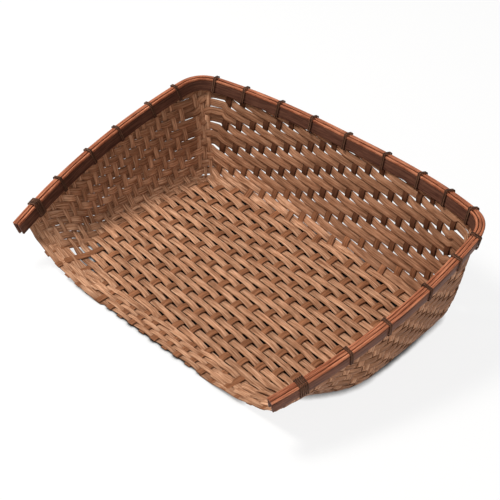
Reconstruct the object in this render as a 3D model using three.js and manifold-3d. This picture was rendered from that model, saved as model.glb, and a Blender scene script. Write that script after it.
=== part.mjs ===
// Square winnowing basket of split bamboo: a woven tray with three walls and an open front lip.
// Millimetres, +Z up. The floor of the tray rests on z = 0, the lip faces -Y, and x = 0 is the mirror plane.
import * as THREE from "three";
import { ConvexGeometry } from "three/addons/geometries/ConvexGeometry.js";
import { mergeVertices } from "three/addons/utils/BufferGeometryUtils.js";
import Module from "manifold-3d";

// Rim line: the middle of the rim at the top of its bands
const rimFrontHalfWidth = 194;
const rimBackHalfWidth = 209;
const rimSideBulge = 14.5;
const rimFrontY = -184;
const rimBackMiddleY = 117;
const rimBackBow = 35;
const rimFrontHeight = 56;
const rimCornerHeight = 121.5;
const rimBackMiddleHeight = 112;
const rimLean = THREE.MathUtils.degToRad(15);
const rimFrontOverhang = 12;

// Fold line: where the floor would meet the walls if the bend were sharp
const foldBackHalfWidth = 194;
const foldSideFlare = 12;
const foldBackMiddleY = 87;
const foldBackBow = 8;
const foldLipY = -178;
const foldLipDraw = 78;
const lipDrawShare = 0.45;

// Bend between the floor and the walls
const bendReach = 16;
const lipBendReach = 42;
const lipMiddleY = -175;
const bendStiffness = 0.45;

// Rounding of the two back corners, as shares of the side and of the half back
const cornerSideShare = 0.085;
const cornerBackShare = 0.11;
const bowPower = 2.5;

// Sections of the pieces
const matThickness = 3;
const bandHeight = 14;
const bandThickness = 2.6;
const bandChamfer = 0.8;
const caneCount = 3;
const caneWidth = 2;
const caneHeight = 1.8;
const caneChamfer = 0.5;
const tieDiameter = 1.7;
const tieTurnGap = 0.6;
const tieCornerRadius = 1.6;
const clearance = 0.3;
const slotPlay = 0.45;

// Weave: warps run from the lip to the back, wefts from side to side, and weavers round the walls
const warpCount = 20;
const warpPitch = 17.4;
const warpShift = -1;
const weftCount = 30;
const weftPitch = 7.24;
const firstWeftY = -152.2;
const weaverPitch = 7.2;
const firstWeaverRise = 10;
const twillRepeat = 4;

// Floats: the stretches of a strip that lie over its neighbours, as low ridges that grow out of the mat
const floatHeight = 1.3;
const floatRoot = 0.6;
const floatWidth = 9;
const floatEndGap = 5;
const leftFloatReach = 2;
const rightFloatReach = 3;
const firstSideWeft = 7;

// Ties: places along the rim, as shares of each side from the front and of the half back from the middle
const lashingShare = 0.075;
const lashingTurns = 5;
const tieTurns = 2;
const leftTieShares = [0.22, 0.4, 0.56, 0.74, 0.88];
const rightTieShares = [0.265, 0.435, 0.635, 0.8, 0.94];
const backTieShares = [-0.9, -0.71, -0.485, -0.26, -0.02, 0.25, 0.5, 0.7, 0.885];

// Fineness of the solids
const sideSteps = 10;
const cornerSteps = 8;
const backSteps = 8;
const bendSteps = 6;
const tieSides = 6;
const tieCornerPoints = 3;
const placeStep = 0.01;

const up = new THREE.Vector3(0, 0, 1);
const quarterTurn = Math.PI / 2;
const wasm = await Module();
wasm.setup();

// Lines that run up one side, round the corner and along the half back.
// side(v) goes from 0 at the front to 1 at the corner, and back(h) from 0 in the middle to 1 at the corner.
const rimCornerY = rimBackMiddleY - rimBackBow;
const foldCornerY = foldBackMiddleY - foldBackBow;

const rimLine = {
  side: (v) =>
    new THREE.Vector3(
      THREE.MathUtils.lerp(rimFrontHalfWidth, rimBackHalfWidth, v) + 4 * rimSideBulge * v * (1 - v),
      THREE.MathUtils.lerp(rimFrontY, rimCornerY, v),
      THREE.MathUtils.lerp(rimFrontHeight, rimCornerHeight, v),
    ),
  back: (h) =>
    new THREE.Vector3(
      rimBackHalfWidth * h,
      rimBackMiddleY - rimBackBow * h ** bowPower,
      THREE.MathUtils.lerp(rimBackMiddleHeight, rimCornerHeight, h * h),
    ),
};

// 1 at the lip, falling to 0 where the walls stand up fully
const lipEase = (v) => Math.max(0, 1 - v / lipDrawShare) ** 2;

const foldLine = {
  side: (v) =>
    new THREE.Vector3(
      foldBackHalfWidth + foldSideFlare * (1 - v * v) - foldLipDraw * lipEase(v),
      THREE.MathUtils.lerp(foldLipY, foldCornerY, v),
      matThickness / 2,
    ),
  back: (h) =>
    new THREE.Vector3(
      foldBackHalfWidth * h,
      foldBackMiddleY - foldBackBow * h ** bowPower,
      matThickness / 2,
    ),
};

const floorLine = {
  side: (v) => {
    const fold = foldLine.side(v);
    fold.x -= bendReach + lipBendReach * lipEase(v);
    fold.y = THREE.MathUtils.lerp(lipMiddleY, foldCornerY - bendReach, v);
    return fold;
  },
  back: (h) => {
    const fold = foldLine.back(h);
    fold.x -= bendReach * h;
    fold.y -= bendReach;
    return fold;
  },
};

// Places along a line: 0 in the middle of the back, then these, and negative on the left
const cornerStart = 1;
const cornerEnd = 2;
const frontEnd = 3;

// A point of a line at place s
function pointAt(line, s) {
  const place = Math.abs(s);
  const sideStart = 1 - cornerSideShare;
  const backEnd = 1 - cornerBackShare;
  let point;
  if (place <= cornerStart) {
    point = line.back(place * backEnd);
  } else if (place >= cornerEnd) {
    point = line.side((frontEnd - place) * sideStart);
  } else {
    const corner = new THREE.QuadraticBezierCurve3(line.back(backEnd), line.back(1), line.side(sideStart));
    point = corner.getPoint(place - cornerStart);
  }
  if (s < 0) point.x = -point.x;
  return point;
}

// Section frame of the rim at place s: along, outward and up along the leaning wall
function rimFrame(s) {
  const along = pointAt(rimLine, s + placeStep).sub(pointAt(rimLine, s - placeStep)).normalize();
  const level = new THREE.Vector3().crossVectors(up, along).normalize();
  const rise = new THREE.Vector3().crossVectors(along, level);
  const upward = rise.clone().multiplyScalar(Math.cos(rimLean)).addScaledVector(level, Math.sin(rimLean));
  const outward = level.clone().multiplyScalar(Math.cos(rimLean)).addScaledVector(rise, -Math.sin(rimLean));
  return { origin: pointAt(rimLine, s), along, outward, upward };
}

// A point given by its outward and upward distance in a section of the rim
function inSection(frame, outward, upward, along = 0) {
  return frame.origin
    .clone()
    .addScaledVector(frame.outward, outward)
    .addScaledVector(frame.upward, upward)
    .addScaledVector(frame.along, along);
}

// Places along the rim at which the solids have their sections, from the left front to the right front
function rimPlaces(overhang) {
  const half = [];
  for (let i = 0; i <= backSteps; i++) half.push(i / backSteps);
  for (let i = 1; i <= cornerSteps; i++) half.push(cornerStart + i / cornerSteps);
  for (let i = 1; i <= sideSteps; i++) half.push(cornerEnd + i / sideSteps);
  if (overhang > 0) half.push(frontEnd + overhang);
  const left = half.slice(1).reverse().map((place) => -place);
  return [...left, ...half];
}

const sideLength = rimCornerY - rimFrontY;
const overhangPlace = rimFrontOverhang / (sideLength * (1 - cornerSideShare));

function geometryOf(points, faces) {
  const flat = points.flatMap((point) => point.toArray());
  const geometry = new THREE.BufferGeometry();
  geometry.setAttribute("position", new THREE.Float32BufferAttribute(flat, 3));
  geometry.setIndex(faces.flat());
  return geometry;
}

// A closed solid through rings of points, each ring anticlockwise seen from the end of the row
function loft(rings) {
  const count = rings[0].length;
  const faces = [];
  for (let i = 0; i + 1 < rings.length; i++) {
    for (let j = 0; j < count; j++) {
      const a = i * count + j;
      const b = i * count + ((j + 1) % count);
      faces.push([a, b, b + count], [a, b + count, a + count]);
    }
  }
  const last = (rings.length - 1) * count;
  for (let j = 1; j + 1 < count; j++) {
    faces.push([0, j + 1, j], [last, last + j, last + j + 1]);
  }
  return geometryOf(rings.flat(), faces);
}

function solidOf(geometry) {
  const bare = geometry.clone();
  bare.deleteAttribute("normal");
  bare.deleteAttribute("uv");
  const merged = mergeVertices(bare);
  const vertProperties = new Float32Array(merged.attributes.position.array);
  const triVerts = new Uint32Array(merged.index.array);
  return new wasm.Manifold(new wasm.Mesh({ numProp: 3, vertProperties, triVerts }));
}

function geometryFrom(solid) {
  const mesh = solid.getMesh();
  const geometry = new THREE.BufferGeometry();
  geometry.setAttribute("position", new THREE.BufferAttribute(mesh.vertProperties, 3));
  geometry.setIndex(new THREE.BufferAttribute(mesh.triVerts, 1));
  return geometry;
}

// The mat's tongue reaches down between the bands to below the ties
const tieRadius = tieDiameter / 2;
const tieBelow = bandHeight + clearance + tieRadius;
const tongueDepth = tieBelow + tieRadius + slotPlay + clearance;

// Rise of a point of the mat: 0 on the floor line, then these
const tongueFoot = 1;
const topEdge = 2;

// Profile of the mat at place s, from the floor line to the foot of the tongue
function matProfile(s) {
  const frame = rimFrame(s);
  const foot = inSection(frame, 0, -tongueDepth);
  const fold = pointAt(foldLine, s);
  const pull = bendStiffness * foot.distanceTo(fold);
  const below = foot.clone().addScaledVector(frame.upward, -pull);
  return new THREE.CubicBezierCurve3(pointAt(floorLine, s), fold, below, foot);
}

// Middle surface of the mat at place s
function matPoint(s, rise) {
  if (rise < tongueFoot) return matProfile(s).getPoint(rise);
  const frame = rimFrame(s);
  return inSection(frame, 0, -tongueDepth).lerp(frame.origin, rise - tongueFoot);
}

// Direction square to the mat, towards the inside of the tray
function matNormal(s, rise) {
  if (rise === 0) return up.clone();
  if (rise >= tongueFoot) return rimFrame(s).outward.negate();
  const alongS = matPoint(s + placeStep, rise).sub(matPoint(s - placeStep, rise));
  const alongRise = matPoint(s, rise + placeStep).sub(matPoint(s, rise - placeStep));
  return alongS.cross(alongRise).normalize();
}

// The woven mat as one closed shell with its true outer shape
function matGeometry() {
  const places = rimPlaces(0);
  const rises = [];
  for (let j = 0; j <= bendSteps; j++) rises.push(j / bendSteps);
  rises.push(topEdge);
  const columns = places.length;
  const rows = rises.length;
  const inside = [];
  const outside = [];
  for (const s of places) {
    for (const rise of rises) {
      const middle = matPoint(s, rise);
      const normal = matNormal(s, rise);
      inside.push(middle.clone().addScaledVector(normal, matThickness / 2));
      outside.push(middle.clone().addScaledVector(normal, -matThickness / 2));
    }
  }
  const total = inside.length;
  const index = (i, j) => i * rows + j;
  const faces = [];
  const addQuad = (a, b, c, d) => {
    faces.push([a, b, c], [a, c, d]);
    faces.push([a + total, c + total, b + total], [a + total, d + total, c + total]);
  };
  for (let i = 0; i + 1 < columns; i++) {
    for (let j = 0; j + 1 < rows; j++) {
      addQuad(index(i, j), index(i + 1, j), index(i + 1, j + 1), index(i, j + 1));
    }
  }
  const middleColumn = (columns - 1) / 2;
  for (let i = 0; i < middleColumn; i++) {
    const left = index(i, 0);
    const right = index(columns - 1 - i, 0);
    const nextRight = index(columns - 2 - i, 0);
    const nextLeft = index(i + 1, 0);
    if (nextLeft === nextRight) {
      faces.push([left, right, nextLeft], [left + total, nextLeft + total, right + total]);
    } else {
      addQuad(left, right, nextRight, nextLeft);
    }
  }
  const border = [];
  for (let j = 0; j < rows; j++) border.push(index(columns - 1, j));
  for (let i = columns - 2; i >= 0; i--) border.push(index(i, rows - 1));
  for (let j = rows - 2; j >= 0; j--) border.push(index(0, j));
  border.forEach((a, k) => {
    const b = border[(k + 1) % border.length];
    faces.push([a + total, b + total, b], [a + total, b, a]);
  });
  return geometryOf([...inside, ...outside], faces);
}

// A low ridge over a rectangle of the mat, from start to end along a strip and across its width.
// pointOf(along, across, proud) is a point that stands proud of the inside of the mat.
function floatRidge(pointOf, start, ridgeStart, ridgeEnd, end) {
  const half = floatWidth / 2;
  const root = [start, (start + end) / 2, end].flatMap((along) =>
    [-half, 0, half].map((across) => pointOf(along, across, -floatRoot)),
  );
  const crest = [ridgeStart, ridgeEnd].map((along) => pointOf(along, 0, floatHeight));
  return solidOf(new ConvexGeometry([...root, ...crest]));
}

const warpX = (i) => (i - (warpCount - 1) / 2) * warpPitch + warpShift;
const weftY = (j) => firstWeftY + j * weftPitch;
const inTwill = (n) => THREE.MathUtils.euclideanModulo(n, twillRepeat) === 0;

// Place on the right side whose floor line has this y
const floorBackY = foldCornerY - bendReach;
const sidePlaceAt = (y) => frontEnd - (y - lipMiddleY) / (floorBackY - lipMiddleY) / (1 - cornerSideShare);
const floorHalfWidth = (y) => pointAt(floorLine, sidePlaceAt(y)).x;

// Floats of the wefts on the floor: over three warps and under the fourth
function floorFloats() {
  const floats = [];
  for (let j = 0; j < weftCount; j++) {
    const reach = floorHalfWidth(weftY(j));
    const pointOf = (x, across, proud) => new THREE.Vector3(x, weftY(j) + across, matThickness + proud);
    for (let i = -twillRepeat; i < warpCount; i++) {
      if (!inTwill(i - j)) continue;
      const start = Math.max(warpX(i) + floatEndGap, -reach);
      const end = Math.min(warpX(i + twillRepeat) - floatEndGap, reach);
      if (end - start < twillRepeat * floatEndGap) continue;
      const ridgeStart = Math.max(warpX(i + 1), start + floatEndGap);
      const ridgeEnd = Math.min(warpX(i + 2), end - floatEndGap);
      if (ridgeStart < ridgeEnd) floats.push(floatRidge(pointOf, start, ridgeStart, ridgeEnd, end));
    }
  }
  return floats;
}

// A point of the inside of a wall at place s and at a distance up its profile
function wallPoint(s, distance, proud) {
  const profile = matProfile(s);
  const rise = profile.getUtoTmapping(distance / profile.getLength());
  return matPoint(s, rise).addScaledVector(matNormal(s, rise), matThickness / 2 + proud);
}

// Rows of weavers that find room below the rim between two places
function rowsBetween(...places) {
  const room = Math.min(...places.map((s) => matProfile(s).getLength())) - floatWidth / 2 - clearance;
  return Math.max(0, Math.floor((room - firstWeaverRise) / weaverPitch) + 1);
}

// A float of row k of the weavers, from place start to place end
function weaverFloat(k, start, ridgeStart, ridgeEnd, end) {
  const pointOf = (s, across, proud) => wallPoint(s, firstWeaverRise + k * weaverPitch + across, proud);
  return floatRidge(pointOf, start, ridgeStart, ridgeEnd, end);
}

// Floats of the weavers on the back wall: over three warps and under the fourth
function backFloats() {
  const backHalf = (foldBackHalfWidth - bendReach) * (1 - cornerBackShare);
  const place = (i) => warpX(i) / backHalf;
  const gap = floatEndGap / backHalf;
  const floats = [];
  for (let i = 0; i + twillRepeat < warpCount; i++) {
    const start = place(i) + gap;
    const end = place(i + twillRepeat) - gap;
    for (let k = 0; k < rowsBetween(start, end); k++) {
      if (inTwill(i - k)) floats.push(weaverFloat(k, start, place(i + 1), place(i + 3), end));
    }
  }
  return floats;
}

// Floats of the weavers on a side wall, over as many wefts as reach says
function sideFloats(side, reach, inPattern) {
  const place = (j) => side * sidePlaceAt(weftY(j));
  const floats = [];
  for (let j = firstSideWeft; j + reach <= weftCount; j++) {
    const ends = [place(j - 1 / 2), place(j + reach - 1 / 2)];
    for (let k = 0; k < rowsBetween(...ends); k++) {
      if (inPattern(j, k)) floats.push(weaverFloat(k, ends[0], place(j), place(j + reach - 1), ends[1]));
    }
  }
  return floats;
}


function allFloats() {
  return [
    ...floorFloats(),
    ...backFloats(),
    ...sideFloats(-1, leftFloatReach, (j, k) => inTwill(j - k)),
    ...sideFloats(1, rightFloatReach, (j, k) => inTwill(j + k - 1)),
  ];
}

// A piece of the rim with one section all the way, from one front end to the other
function rimPiece(section) {
  const rings = rimPlaces(overhangPlace).map((s) => {
    const frame = rimFrame(s);
    return section.map(([outward, upward]) => inSection(frame, outward, upward));
  });
  return loft(rings);
}

// Section of a strip between two outward distances and two heights, with its edges broken
function stripSection(low, high, bottom, top, chamfer) {
  return [
    [low + chamfer, bottom],
    [high - chamfer, bottom],
    [high, bottom + chamfer],
    [high, top - chamfer],
    [high - chamfer, top],
    [low + chamfer, top],
    [low, top - chamfer],
    [low, bottom + chamfer],
  ];
}

const bandInner = matThickness / 2 + clearance;
const bandOuter = bandInner + bandThickness;
const canePitch = caneWidth + clearance;
const caneBottom = clearance;
const caneTop = caneBottom + caneHeight;

const caneSection = (k) => {
  const middle = (k - (caneCount - 1) / 2) * canePitch;
  return stripSection(middle - caneWidth / 2, middle + caneWidth / 2, caneBottom, caneTop, caneChamfer);
};

// One loop of a tie round the rim's section, with round corners, starting below the inner band
function tieLoop() {
  const reach = bandOuter + clearance + tieRadius - tieCornerRadius;
  const top = caneTop + clearance + tieRadius - tieCornerRadius;
  const bottom = tieCornerRadius - tieBelow;
  const centres = [
    [-reach, bottom],
    [-reach, top],
    [reach, top],
    [reach, bottom],
  ];
  const firstQuarter = centres.length - 1;
  return centres.flatMap(([outward, upward], corner) =>
    Array.from({ length: tieCornerPoints }, (_, k) => {
      const angle = (firstQuarter - corner - k / (tieCornerPoints - 1)) * quarterTurn;
      return [outward + tieCornerRadius * Math.cos(angle), upward + tieCornerRadius * Math.sin(angle)];
    }),
  );
}

const tiePitch = tieDiameter + tieTurnGap;

// The wound line of a tie: its loops lie side by side along the rim
function tiePath(s, turns) {
  const frame = rimFrame(s);
  const loop = tieLoop();
  const path = [];
  for (let k = 0; k <= turns * loop.length; k++) {
    const [outward, upward] = loop[k % loop.length];
    const along = (k / loop.length - turns / 2) * tiePitch;
    path.push(inSection(frame, outward, upward, along));
  }
  return path;
}

// Least gap between neighbouring turns of a wound line, measured between its points
function leastGap(path, perLoop) {
  let least = Infinity;
  for (let i = 0; i < path.length; i++) {
    for (let k = i + perLoop - 1; k < path.length; k++) {
      least = Math.min(least, path[i].distanceTo(path[k]) - tieDiameter);
    }
  }
  return least;
}

// A tube with flat ends along a path of points, whose sections start from a direction across the path
function tube(path, across) {
  let side = across;
  const rings = path.map((point, k) => {
    const before = path[Math.max(0, k - 1)];
    const after = path[Math.min(path.length - 1, k + 1)];
    const along = after.clone().sub(before).normalize();
    side = side.clone().addScaledVector(along, -side.dot(along)).normalize();
    const other = new THREE.Vector3().crossVectors(along, side);
    return Array.from({ length: tieSides }, (_, j) => {
      const angle = (j / tieSides) * 2 * Math.PI;
      return point
        .clone()
        .addScaledVector(side, tieRadius * Math.cos(angle))
        .addScaledVector(other, tieRadius * Math.sin(angle));
    });
  });
  return loft(rings);
}

// The slot between the strips of the mat that a tie passes through, just below the bands
function slotCutter(s, turns) {
  const frame = rimFrame(s);
  const length = turns * tiePitch + tieDiameter + 2 * slotPlay;
  const height = tieDiameter + 2 * slotPlay;
  const depth = 2 * matThickness;
  const box = new THREE.BoxGeometry(length, depth, height);
  const turn = new THREE.Matrix4().makeBasis(frame.along, frame.outward, frame.upward);
  turn.setPosition(inSection(frame, 0, -tieBelow));
  const placed = box.applyMatrix4(turn);
  return solidOf(placed);
}

// Every tie with its name, its place along the rim and its turns
const sidePlace = (share) => frontEnd - share / (1 - cornerSideShare);
const backPlace = (share) => share / (1 - cornerBackShare);
const ties = [
  { name: "lashing_left_front", s: -sidePlace(lashingShare), turns: lashingTurns },
  ...leftTieShares.map((share, k) => ({ name: `tie_left_${k + 1}`, s: -sidePlace(share), turns: tieTurns })),
  ...backTieShares.map((share, k) => ({ name: `tie_back_${k + 1}`, s: backPlace(share), turns: tieTurns })),
  ...rightTieShares.map((share, k) => ({ name: `tie_right_${k + 1}`, s: sidePlace(share), turns: tieTurns })),
  { name: "lashing_right_front", s: sidePlace(lashingShare), turns: lashingTurns },
];

const materials = {
  mat: new THREE.MeshStandardMaterial({ color: 0xa0714c, roughness: 0.6, metalness: 0 }),
  band: new THREE.MeshStandardMaterial({ color: 0x6b4632, roughness: 0.45, metalness: 0 }),
  cane: new THREE.MeshStandardMaterial({ color: 0xb5683f, roughness: 0.4, metalness: 0 }),
  tie: new THREE.MeshStandardMaterial({ color: 0x4a3a31, roughness: 0.6, metalness: 0 }),
};

const basket = new THREE.Group();
function addPiece(name, geometry, material) {
  const mesh = new THREE.Mesh(geometry, material);
  mesh.name = name;
  basket.add(mesh);
}

const slots = ties.map(({ s, turns }) => slotCutter(s, turns));
const woven = allFloats().reduce((solid, ridge) => solid.add(ridge), solidOf(matGeometry()));
const mat = slots.reduce((solid, slot) => solid.subtract(slot), woven);
addPiece("woven_mat", geometryFrom(mat), materials.mat);

const innerBand = stripSection(-bandOuter, -bandInner, -bandHeight, 0, bandChamfer);
const outerBand = stripSection(bandInner, bandOuter, -bandHeight, 0, bandChamfer);
addPiece("inner_rim_band", rimPiece(innerBand), materials.band);
addPiece("outer_rim_band", rimPiece(outerBand), materials.band);
for (let k = 0; k < caneCount; k++) {
  addPiece(`rim_cane_${k + 1}`, rimPiece(caneSection(k)), materials.cane);
}

let tightest = Infinity;
for (const { name, s, turns } of ties) {
  const path = tiePath(s, turns);
  tightest = Math.min(tightest, leastGap(path, tieLoop().length));
  addPiece(name, tube(path, rimFrame(s).along), materials.tie);
}
console.log(`least gap between the turns of a tie: ${tightest.toFixed(2)} mm`);

export default basket;
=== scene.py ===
# Square winnowing basket: bamboo strips, rim bands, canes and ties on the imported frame
import math

import bpy
import numpy as np
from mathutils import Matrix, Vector


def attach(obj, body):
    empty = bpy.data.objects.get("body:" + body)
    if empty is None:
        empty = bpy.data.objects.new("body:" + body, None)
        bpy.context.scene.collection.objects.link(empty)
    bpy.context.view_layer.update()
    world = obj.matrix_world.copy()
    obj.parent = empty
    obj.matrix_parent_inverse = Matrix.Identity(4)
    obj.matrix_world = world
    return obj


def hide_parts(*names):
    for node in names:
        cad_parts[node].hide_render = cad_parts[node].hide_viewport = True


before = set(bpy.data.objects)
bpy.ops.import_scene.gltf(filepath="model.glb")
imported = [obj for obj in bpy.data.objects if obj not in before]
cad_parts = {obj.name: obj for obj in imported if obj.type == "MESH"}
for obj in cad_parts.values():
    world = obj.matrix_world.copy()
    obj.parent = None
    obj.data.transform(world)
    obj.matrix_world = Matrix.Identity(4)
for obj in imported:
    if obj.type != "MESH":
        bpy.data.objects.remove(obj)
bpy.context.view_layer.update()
scene = bpy.context.scene
SEED = 11
draw = np.random.RandomState(SEED)

# Sizes of the mat's surface in millimetres, as in the part's source
MM = 0.001
RIM_FRONT_HALF = 194.0
RIM_BACK_HALF = 209.0
RIM_SIDE_BULGE = 14.5
RIM_FRONT_Y = -184.0
RIM_BACK_Y = 117.0
RIM_BACK_BOW = 35.0
RIM_FRONT_HEIGHT = 56.0
RIM_CORNER_HEIGHT = 121.5
RIM_BACK_HEIGHT = 112.0
RIM_LEAN = math.radians(15)
FOLD_BACK_HALF = 194.0
FOLD_SIDE_FLARE = 12.0
FOLD_BACK_Y = 87.0
FOLD_BACK_BOW = 8.0
FOLD_LIP_Y = -178.0
FOLD_LIP_DRAW = 78.0
LIP_DRAW_SHARE = 0.45
BEND_REACH = 16.0
LIP_BEND_REACH = 42.0
LIP_Y = -175.0
BEND_STIFFNESS = 0.45
CORNER_SIDE_SHARE = 0.085
CORNER_BACK_SHARE = 0.11
BOW_POWER = 2.5
MAT_HALF_THICKNESS = 1.5
TONGUE_DEPTH = 16.75
RIM_CORNER_Y = RIM_BACK_Y - RIM_BACK_BOW
FOLD_CORNER_Y = FOLD_BACK_Y - FOLD_BACK_BOW
FLOOR_CORNER_Y = FOLD_CORNER_Y - BEND_REACH

# Places along the walls: 0 is the middle of the back, the left is negative
CORNER_START = 1.0
SIDE_START = 2.0
FRONT = 3.0
SIDES = (-1, 1)
PLACE_STEP = 0.004
PLACE_GAP = 0.01
LOWEST = -40.0
HIGHEST = 160.0
RISE_STEP = 1.0
BEND_STEPS = 80
LAST_CELL = 1.001
TINY = 1e-9
UP = (0.0, 0.0, 1.0)


def lerp(a, b, t):
    return a + (b - a) * t


def run_along(points):
    """Distance along a line at each of its points."""
    return np.concatenate([[0], np.cumsum(np.linalg.norm(np.diff(points, axis=0), axis=1))])


def unit(vectors):
    return vectors / np.linalg.norm(vectors, axis=-1, keepdims=True)


def smooth(t):
    """Eases from 0 to 1."""
    t = np.clip(t, 0, 1)
    return t * t * (3 - 2 * t)


def lip_ease(v):
    """How much the lip still narrows the floor at a share of the side."""
    return np.maximum(0, 1 - v / LIP_DRAW_SHARE) ** 2


def rim_side(v):
    x = lerp(RIM_FRONT_HALF, RIM_BACK_HALF, v) + 4 * RIM_SIDE_BULGE * v * (1 - v)
    y = lerp(RIM_FRONT_Y, RIM_CORNER_Y, v)
    return np.stack([x, y, lerp(RIM_FRONT_HEIGHT, RIM_CORNER_HEIGHT, v)], -1)


def rim_back(h):
    y = RIM_BACK_Y - RIM_BACK_BOW * h ** BOW_POWER
    return np.stack([RIM_BACK_HALF * h, y, lerp(RIM_BACK_HEIGHT, RIM_CORNER_HEIGHT, h * h)], -1)


def fold_side(v):
    x = FOLD_BACK_HALF + FOLD_SIDE_FLARE * (1 - v * v) - FOLD_LIP_DRAW * lip_ease(v)
    return np.stack([x, lerp(FOLD_LIP_Y, FOLD_CORNER_Y, v), 0 * v + MAT_HALF_THICKNESS], -1)


def fold_back(h):
    y = FOLD_BACK_Y - FOLD_BACK_BOW * h ** BOW_POWER
    return np.stack([FOLD_BACK_HALF * h, y, 0 * h + MAT_HALF_THICKNESS], -1)


def floor_side(v):
    p = fold_side(v)
    p[..., 0] -= BEND_REACH + LIP_BEND_REACH * lip_ease(v)
    p[..., 1] = lerp(LIP_Y, FLOOR_CORNER_Y, v)
    return p


def floor_back(h):
    p = fold_back(h)
    p[..., 0] -= BEND_REACH * h
    p[..., 1] -= BEND_REACH
    return p


def line_at(side, back, place):
    """Points of one of the mat's lines at the given places."""
    place = np.asarray(place, float)
    far = np.abs(place)
    on_back = back(np.minimum(far, 1) * (1 - CORNER_BACK_SHARE))
    on_side = side(np.clip(FRONT - far, 0, 1) * (1 - CORNER_SIDE_SHARE))
    start = back(np.float64(1 - CORNER_BACK_SHARE))
    middle = back(np.float64(1))
    end = side(np.float64(1 - CORNER_SIDE_SHARE))
    t = np.clip(far - CORNER_START, 0, 1)[..., None]
    corner = (1 - t) ** 2 * start + 2 * t * (1 - t) * middle + t * t * end
    off_back = np.where((far >= SIDE_START)[..., None], on_side, corner)
    points = np.where((far <= CORNER_START)[..., None], on_back, off_back)
    points[..., 0] *= np.where(place < 0, -1, 1)
    return points


def rim_frame(place):
    """Rim point, direction along the rim, outward and upward, at the given places."""
    ahead = line_at(rim_side, rim_back, np.minimum(place + PLACE_GAP, FRONT))
    behind = line_at(rim_side, rim_back, np.maximum(place - PLACE_GAP, -FRONT))
    along = unit(ahead - behind)
    level = unit(np.cross(UP, along))
    rise = np.cross(along, level)
    upward = rise * math.cos(RIM_LEAN) + level * math.sin(RIM_LEAN)
    outward = level * math.cos(RIM_LEAN) - rise * math.sin(RIM_LEAN)
    return line_at(rim_side, rim_back, place), along, outward, upward


# The mat's middle surface as a grid of places by distances up each profile from the floor line
places = np.arange(-FRONT, FRONT + PLACE_STEP / 2, PLACE_STEP)
rises = np.arange(LOWEST, HIGHEST + RISE_STEP / 2, RISE_STEP)
rim_points, _, _, rim_upward = rim_frame(places)
floor_points = line_at(floor_side, floor_back, places)
fold_points = line_at(fold_side, fold_back, places)
feet = rim_points - TONGUE_DEPTH * rim_upward
lean = BEND_STIFFNESS * np.linalg.norm(feet - fold_points, axis=-1, keepdims=True)
below_feet = feet - rim_upward * lean
corner_turn = np.clip(np.abs(places) - CORNER_START, 0, 1)
inward = unit(np.stack([-np.sign(places) * corner_turn, corner_turn - 1, 0 * places], -1))
t = np.linspace(0, 1, BEND_STEPS)[:, None]
grid = np.zeros((len(places), len(rises), 3))
wall_length = np.zeros(len(places))
for n in range(len(places)):
    curve = (1 - t) ** 3 * floor_points[n] + 3 * t * (1 - t) ** 2 * fold_points[n]
    curve = curve + 3 * t * t * (1 - t) * below_feet[n] + t ** 3 * feet[n]
    above = rim_points[n] + rim_upward[n] * HIGHEST
    before = floor_points[n] - inward[n] * LOWEST
    line = np.concatenate([[before], curve, [above]])
    run = run_along(line) + LOWEST
    wall_length[n] = run[-2] + TONGUE_DEPTH
    grid[n] = np.stack([np.interp(rises, run, line[:, axis]) for axis in range(3)], -1)
grid_normals = unit(np.cross(np.gradient(grid, axis=0), np.gradient(grid, axis=1)))
grid_normals[np.abs(places) < PLACE_STEP / 2, rises < 0] = UP


def on_grid(values, place, rise):
    """Values of a grid at places and distances up the wall."""
    a = np.clip((np.asarray(place) + FRONT) / PLACE_STEP, 0, len(places) - LAST_CELL)
    b = np.clip((np.asarray(rise) - LOWEST) / RISE_STEP, 0, len(rises) - LAST_CELL)
    i, j = a.astype(int), b.astype(int)
    fa, fb = (a - i)[..., None], (b - j)[..., None]
    low = values[i, j] * (1 - fa) + values[i + 1, j] * fa
    high = values[i, j + 1] * (1 - fa) + values[i + 1, j + 1] * fa
    return low * (1 - fb) + high * fb


def wall_at(place, rise):
    """Points of the mat's middle surface, and its normals."""
    return on_grid(grid, place, rise), unit(on_grid(grid_normals, place, rise))


def length_at(place):
    """How far up the wall its top is at a place."""
    return np.interp(place, places, wall_length)


# The strips: counts, and sizes in millimetres
WARP_COUNT = 20
WARP_PITCH = 17.4
WARP_MIDDLE = (WARP_COUNT - 1) / 2
WARP_SHIFT = -1.0
WARP_WIDTH = 7.6
FLOOR_SHIFT = -2.4
WALL_SWAY = -11.0
SWAY_MIDDLE = 20.0
SWAY_SPREAD = 85.0
SWAY_START = -24.0
SWAY_RUN = 38.0
STRIP_COUNT = 38
STRIP_PITCH = 9.653
STRIP_FALL = 2.413
STRIP_START = -146.4
STRETCH = 8.0
STRETCH_START = 22.0
STRETCH_RUN = 50.0
TWILL = 3
LIP_LIMIT = -152.5
LIP_RUN = 5.0
LIP_WEFTS = 4
LIP_PITCH = 5.0
LIP_START = -172.6
ROW_COUNT = 16
ROW_PITCH = 7.5
ROW_START = -8.4
ROW_FAN = 0.2
ROW_FAN_RUN = 450.0
ROW_FAN_POWER = 1.3
SIDE_LINE = 180.0
LEFT_ROWS = 19
RIGHT_ROWS = 25
EDGE = 0.25
CORNER_RUN = 1.2
LOW_ROW = 4.0
STRIP_THICKNESS = 0.95
SAMPLE = 1.75
WALL_STEP = 3.0
TOP_RISE = 150.0
BACK_LIMIT = 1.9
LEAST_RISE = 0.5
CLOSEST = 3.0
END_MARGIN = 1.0
END_RUN = 4.0
END_SHARE = 0.5
STRAIGHT_START = 0.04
STRAIGHT_RUN = 0.3
SIDE_TRIES = 8
MEET_TRIES = 6
MEET_START = 10


def column_x(c):
    """Where a warp, or a line between two warps, would lie without sway."""
    return (c - WARP_MIDDLE) * WARP_PITCH + WARP_SHIFT


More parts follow.
